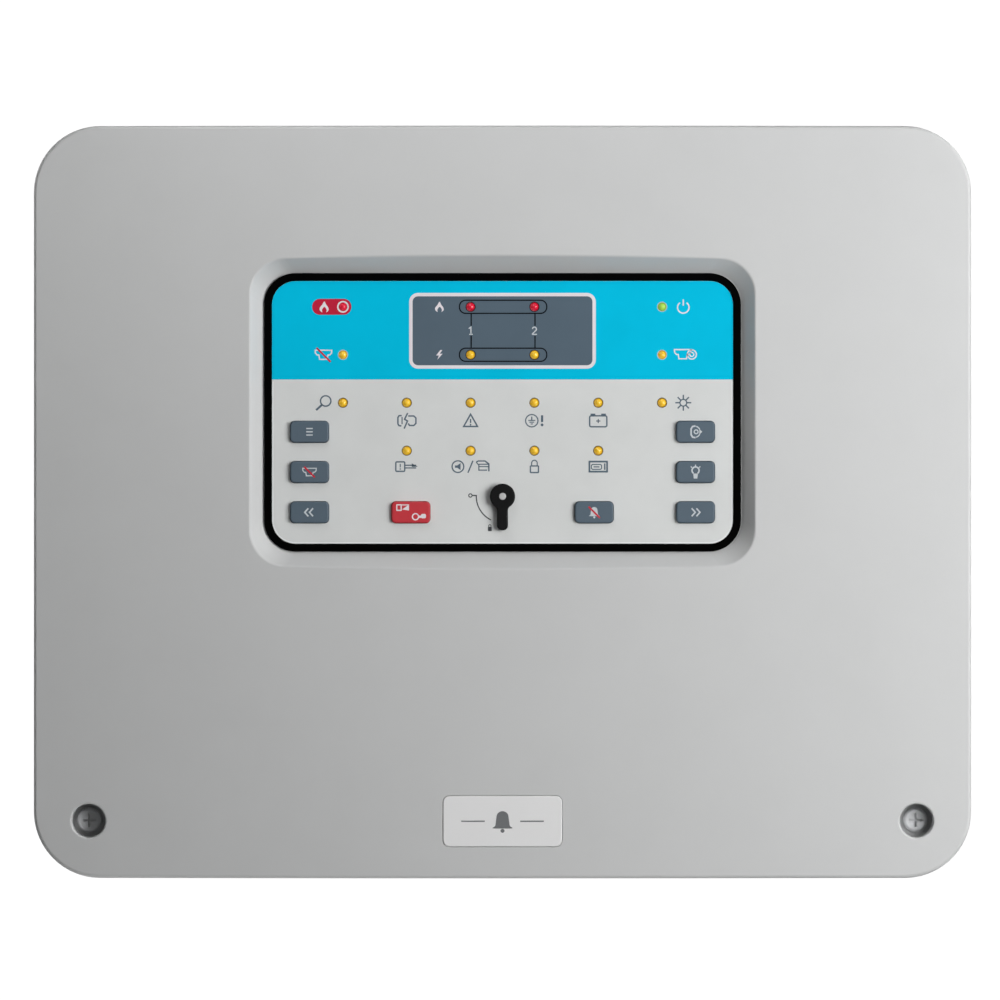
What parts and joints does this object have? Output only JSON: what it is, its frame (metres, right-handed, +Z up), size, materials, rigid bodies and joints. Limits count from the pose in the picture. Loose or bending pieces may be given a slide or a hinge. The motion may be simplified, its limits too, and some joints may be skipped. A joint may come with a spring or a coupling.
{
  "type": "fire alarm control panel",
  "caption": "Wall-mounted fire alarm panel: hinged plastic cover with an indicator and button display over a back box that holds the boards, power supply and batteries.",
  "frame": {"origin": "centre of the back face, on the wall, in the middle of the four wall-fixing holes", "axes": "+X to the right seen from the front, +Y into the wall, +Z up; the front face looks along -Y"},
  "size_m": [0.318, 0.0962, 0.255],
  "materials": {
    "cover_plastic": "fine moulded texture, light grey",
    "box_plastic": "fine moulded texture, light grey",
    "black_plastic": "satin black",
    "overlay_film": "fine-grained polyester film, printed",
    "led_yellow": "diffused epoxy lens",
    "led_red": "diffused epoxy lens",
    "led_green": "diffused epoxy lens",
    "circuit_board": "green solder mask",
    "zinc_steel": "zinc plated",
    "stainless_steel": "ground bright",
    "key_plastic": "satin moulded black",
    "key_dot": "light grey moulded pin",
    "chip_plastic": "moulded epoxy",
    "socket_plastic": "glass-filled black",
    "badge_plastic": "smooth satin",
    "nylon": "natural nylon",
    "brass": "machined",
    "battery_case": "moulded dark grey",
    "tinned_brass": "tinned",
    "red_insulation": "soft vinyl",
    "black_insulation": "soft vinyl",
    "brown_insulation": "soft vinyl",
    "blue_insulation": "soft vinyl",
    "earth_insulation": "soft vinyl, green with a yellow stripe",
    "terminal_plastic": "moulded green",
    "relay_plastic": "moulded blue",
    "capacitor_sleeve": "shrink sleeve",
    "fuse_cover": "moulded black",
    "ribbon_grey": "ribbed flat cable with one red edge",
    "supply_aluminium": "mill finish sheet",
    "supply_laminate": "paper phenolic board",
    "transformer_tape": "taped winding and ferrite core",
    "mains_plastic": "off-white moulded",
    "key_slate": "satin silicone-coated keycap",
    "key_red": "satin silicone-coated keycap"
  },
  "bodies": {
    "box": {"back_box": "box_plastic", "hinge_pins": "stainless_steel", "post_inserts": "brass", "battery_tray": "zinc_steel", "battery_left": "battery_case", "battery_right": "battery_case", "battery_tabs": "tinned_brass", "red_boots": "red_insulation", "black_boots": "black_insulation", "main_board": "circuit_board", "box_screws": "zinc_steel", "terminal_blocks": "terminal_plastic", "terminal_screws": "zinc_steel", "relays": "relay_plastic", "capacitors": "capacitor_sleeve", "board_fuses": "fuse_cover", "logic_chips": "chip_plastic", "main_socket": "socket_plastic", "ribbon_cable": "ribbon_grey", "supply_base": "supply_aluminium", "supply_cover": "supply_aluminium", "supply_board": "supply_laminate", "supply_components": "transformer_tape", "supply_terminals": "black_plastic", "mains_block": "mains_plastic", "mains_terminal_screws": "brass", "earth_stud": "brass", "red_wires": "red_insulation", "black_wires": "black_insulation", "brown_wire": "brown_insulation", "blue_wire": "blue_insulation", "earth_wire": "earth_insulation"},
    "cover": {"front_cover": "cover_plastic", "display_bezel": "black_plastic", "overlay_panel": "overlay_film", "yellow_leds": "led_yellow", "red_leds": "led_red", "green_led": "led_green", "led_spacers": "black_plastic", "display_board": "circuit_board", "display_board_screws": "zinc_steel", "tact_switches": "black_plastic", "key_switch": "black_plastic", "display_chips": "chip_plastic", "buzzer": "black_plastic", "display_socket": "socket_plastic", "badge_plate": "badge_plastic", "screw_retainers": "nylon"},
    "key": {"key_lever": "key_plastic", "key_pin": "key_dot"},
    "cover_screw_left": {"cover_screw_left": "zinc_steel"},
    "cover_screw_right": {"cover_screw_right": "zinc_steel"},
    "button_function": {"button_function": "key_slate"},
    "button_mute_buzzer": {"button_mute_buzzer": "key_slate"},
    "button_previous": {"button_previous": "key_slate"},
    "button_evacuate": {"button_evacuate": "key_red"},
    "button_silence": {"button_silence": "key_slate"},
    "button_reset": {"button_reset": "key_slate"},
    "button_lamp_test": {"button_lamp_test": "key_slate"},
    "button_next": {"button_next": "key_slate"}
  },
  "joints": [
    {"name": "cover_hinge", "type": "hinge", "parent": "box", "child": "cover", "pos_m": [0, -0.058, 0.1249], "axis": [-1, 0, 0], "range_deg": [0, 105], "deforming": ["ribbon_cable"]},
    {"name": "button_function_press", "type": "slide", "parent": "cover", "child": "button_function", "axis": [0, 1, 0], "range_m": [0, 0.001], "stiffness_N_per_m": 800, "springref_m": -0.001},
    {"name": "button_mute_buzzer_press", "type": "slide", "parent": "cover", "child": "button_mute_buzzer", "axis": [0, 1, 0], "range_m": [0, 0.001], "stiffness_N_per_m": 800, "springref_m": -0.001},
    {"name": "button_previous_press", "type": "slide", "parent": "cover", "child": "button_previous", "axis": [0, 1, 0], "range_m": [0, 0.001], "stiffness_N_per_m": 800, "springref_m": -0.001},
    {"name": "button_evacuate_press", "type": "slide", "parent": "cover", "child": "button_evacuate", "axis": [0, 1, 0], "range_m": [0, 0.001], "stiffness_N_per_m": 800, "springref_m": -0.001},
    {"name": "button_silence_press", "type": "slide", "parent": "cover", "child": "button_silence", "axis": [0, 1, 0], "range_m": [0, 0.001], "stiffness_N_per_m": 800, "springref_m": -0.001},
    {"name": "button_reset_press", "type": "slide", "parent": "cover", "child": "button_reset", "axis": [0, 1, 0], "range_m": [0, 0.001], "stiffness_N_per_m": 800, "springref_m": -0.001},
    {"name": "button_lamp_test_press", "type": "slide", "parent": "cover", "child": "button_lamp_test", "axis": [0, 1, 0], "range_m": [0, 0.001], "stiffness_N_per_m": 800, "springref_m": -0.001},
    {"name": "button_next_press", "type": "slide", "parent": "cover", "child": "button_next", "axis": [0, 1, 0], "range_m": [0, 0.001], "stiffness_N_per_m": 800, "springref_m": -0.001},
    {"name": "key_turn", "type": "hinge", "parent": "cover", "child": "key", "pos_m": [0, -0.0904, 0.0019], "axis": [0, 1, 0], "range_deg": [0, 90]},
    {"name": "cover_screw_left_turn", "type": "hinge", "parent": "cover", "child": "cover_screw_left", "pos_m": [-0.14035, -0.0805, -0.1081], "axis": [0, 1, 0], "continuous": true},
    {"name": "cover_screw_right_turn", "type": "hinge", "parent": "cover", "child": "cover_screw_right", "pos_m": [0.14035, -0.0805, -0.1081], "axis": [0, 1, 0], "continuous": true}
  ]
}
